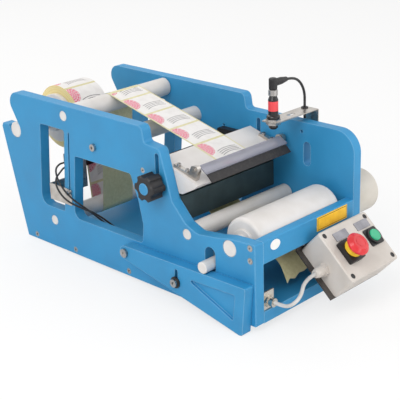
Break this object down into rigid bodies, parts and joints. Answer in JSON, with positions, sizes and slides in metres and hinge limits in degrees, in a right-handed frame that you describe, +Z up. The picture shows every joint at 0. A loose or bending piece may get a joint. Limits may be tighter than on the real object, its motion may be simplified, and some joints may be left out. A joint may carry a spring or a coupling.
{
  "type": "bottle labelling machine",
  "caption": "Bench-top labelling machine for round bottles: label reel in open notches, web over guide rollers to a peel table, roller cradle, wiping squeegee and tilted control box.",
  "frame": {"origin": "centre of the overall box on the bench surface", "axes": "+Z up, +Y from the bottle cradle to the label reel, +X from the knob side of the control cable to the motor cover side"},
  "size_m": [0.3832, 0.7532, 0.3563],
  "materials": {
    "white_hdpe": "machined",
    "blue_hdpe": "machined",
    "stainless": "brushed",
    "dark_bar": "satin",
    "dark_sheet": "satin",
    "roller_rubber": "ground",
    "black_rubber": "soft",
    "black_plastic": "moulded",
    "motor_black": "satin",
    "box_grey": "moulded",
    "cover_beige": "moulded",
    "stop_red": "gloss",
    "collar_yellow": "gloss",
    "button_green": "gloss",
    "plate_yellow": "bare",
    "plate_silver": "bare",
    "clear_plastic": "clear",
    "cardboard": "board",
    "label_paper": "coated paper",
    "roll_paper": "paper edges",
    "liner_paper": "glassine",
    "sensor_metal": "turned",
    "sensor_body": "moulded",
    "band_red": "moulded",
    "cable_grey": "jacket",
    "cable_black": "jacket"
  },
  "bodies": {
    "frame": {"side_plate_near": "blue_hdpe", "side_plate_far": "blue_hdpe", "base_board": "blue_hdpe", "front_rail": "blue_hdpe", "machine_screws": "stainless", "spacer_bar": "white_hdpe", "rail_plaque": "plate_yellow", "label_web": "liner_paper", "backing_paper": "liner_paper", "web_labels": "label_paper", "peel_table": "white_hdpe", "table_block": "white_hdpe", "peel_beam": "dark_bar", "squeegee_brackets": "stainless", "feed_bearing": "black_plastic", "drive_motors": "motor_black", "motor_cover": "cover_beige", "foot_bolts": "stainless", "foot_washers": "black_plastic", "box_mount_plate": "dark_sheet", "box_body": "box_grey", "box_lid": "box_grey", "lid_fittings": "black_plastic", "stop_collar": "collar_yellow", "legend_plates": "plate_silver", "cable_glands": "box_grey", "low_gland": "stainless", "control_cable": "cable_grey", "sensor_bracket": "stainless", "bottle_sensor": "sensor_body", "sensor_band": "band_red", "sensor_nuts": "sensor_metal", "sensor_elbow": "black_plastic", "sensor_cable": "cable_black", "gap_bracket": "stainless", "gap_sensor": "sensor_body", "gap_cable_upper": "cable_black", "gap_cable_lower": "cable_black"},
    "reel": {"reel_spindle": "white_hdpe", "reel_flanges": "white_hdpe", "roll_core": "cardboard", "label_roll": "roll_paper"},
    "top_guide": {"guide_roller_top": "white_hdpe"},
    "low_guide": {"guide_roller_low": "white_hdpe"},
    "feed": {"feed_roller": "roller_rubber"},
    "pinch": {"pinch_roller": "roller_rubber"},
    "cradle_front": {"front_roller": "white_hdpe"},
    "cradle_rear": {"rear_roller": "white_hdpe"},
    "slack_bar": {"paper_bar": "white_hdpe"},
    "near_knob": {"clamp_knob_near": "black_plastic", "knob_cap_near": "blue_hdpe"},
    "far_knob": {"clamp_knob_far": "black_plastic", "knob_cap_far": "blue_hdpe"},
    "squeegee": {"squeegee_rod": "stainless", "squeegee_strip": "clear_plastic", "squeegee_blade": "black_rubber"},
    "near_foot": {"foot_near": "blue_hdpe"},
    "far_foot": {"foot_far": "blue_hdpe"},
    "stop": {"stop_mushroom": "stop_red"},
    "start": {"start_button": "button_green"}
  },
  "joints": [
    {"name": "reel_spin", "type": "hinge", "parent": "frame", "child": "reel", "pos_m": [-0.0224, 0.31457, 0.2118], "axis": [1, 0, 0], "continuous": true},
    {"name": "top_guide_spin", "type": "hinge", "parent": "frame", "child": "top_guide", "pos_m": [-0.0224, 0.16937, 0.26822], "axis": [1, 0, 0], "continuous": true},
    {"name": "low_guide_spin", "type": "hinge", "parent": "frame", "child": "low_guide", "pos_m": [-0.0224, 0.21562, 0.05555], "axis": [1, 0, 0], "continuous": true},
    {"name": "feed_spin", "type": "hinge", "parent": "frame", "child": "feed", "pos_m": [-0.0224, -0.00855, 0.19927], "axis": [1, 0, 0], "continuous": true},
    {"name": "pinch_spin", "type": "hinge", "parent": "frame", "child": "pinch", "pos_m": [-0.0224, -0.02743, 0.18065], "axis": [1, 0, 0], "continuous": true},
    {"name": "front_roller_spin", "type": "hinge", "parent": "frame", "child": "cradle_front", "pos_m": [-0.0224, -0.22873, 0.13237], "axis": [1, 0, 0], "continuous": true},
    {"name": "rear_roller_spin", "type": "hinge", "parent": "frame", "child": "cradle_rear", "pos_m": [-0.0224, -0.13458, 0.12908], "axis": [1, 0, 0], "continuous": true},
    {"name": "slack_bar_slide", "type": "slide", "parent": "frame", "child": "slack_bar", "axis": [1, 0, 0], "range_m": [-0.018, 0.018]},
    {"name": "near_knob_turn", "type": "hinge", "parent": "frame", "child": "near_knob", "pos_m": [-0.1614, -0.06954, 0.20049], "axis": [1, 0, 0], "range_deg": [-180, 180]},
    {"name": "far_knob_turn", "type": "hinge", "parent": "frame", "child": "far_knob", "pos_m": [0.1166, -0.06954, 0.20049], "axis": [1, 0, 0], "range_deg": [-180, 180]},
    {"name": "squeegee_lift", "type": "hinge", "parent": "frame", "child": "squeegee", "pos_m": [-0.0224, -0.1299, 0.23271], "axis": [-1, 0, 0], "range_deg": [0, 60]},
    {"name": "near_foot_swing", "type": "hinge", "parent": "frame", "child": "near_foot", "pos_m": [-0.1684, -0.00229, 0.06252], "axis": [1, 0, 0], "range_deg": [0, 8]},
    {"name": "far_foot_swing", "type": "hinge", "parent": "frame", "child": "far_foot", "pos_m": [0.1236, -0.00229, 0.06252], "axis": [1, 0, 0], "range_deg": [0, 8]},
    {"name": "stop_push", "type": "slide", "parent": "frame", "child": "stop", "axis": [0, 0.662, -0.7495], "range_m": [0, 0.003], "stiffness_N_per_m": 2500, "springref_m": -0.001},
    {"name": "start_push", "type": "slide", "parent": "frame", "child": "start", "axis": [0, 0.662, -0.7495], "range_m": [0, 0.0025], "stiffness_N_per_m": 900, "springref_m": -0.001}
  ],
  "couplings": [
    {"joint": "top_guide_spin", "follows": "reel_spin", "ratio": 3.6471},
    {"joint": "low_guide_spin", "follows": "reel_spin", "ratio": -3.875},
    {"joint": "feed_spin", "follows": "reel_spin", "ratio": 4},
    {"joint": "pinch_spin", "follows": "reel_spin", "ratio": -6.2}
  ]
}
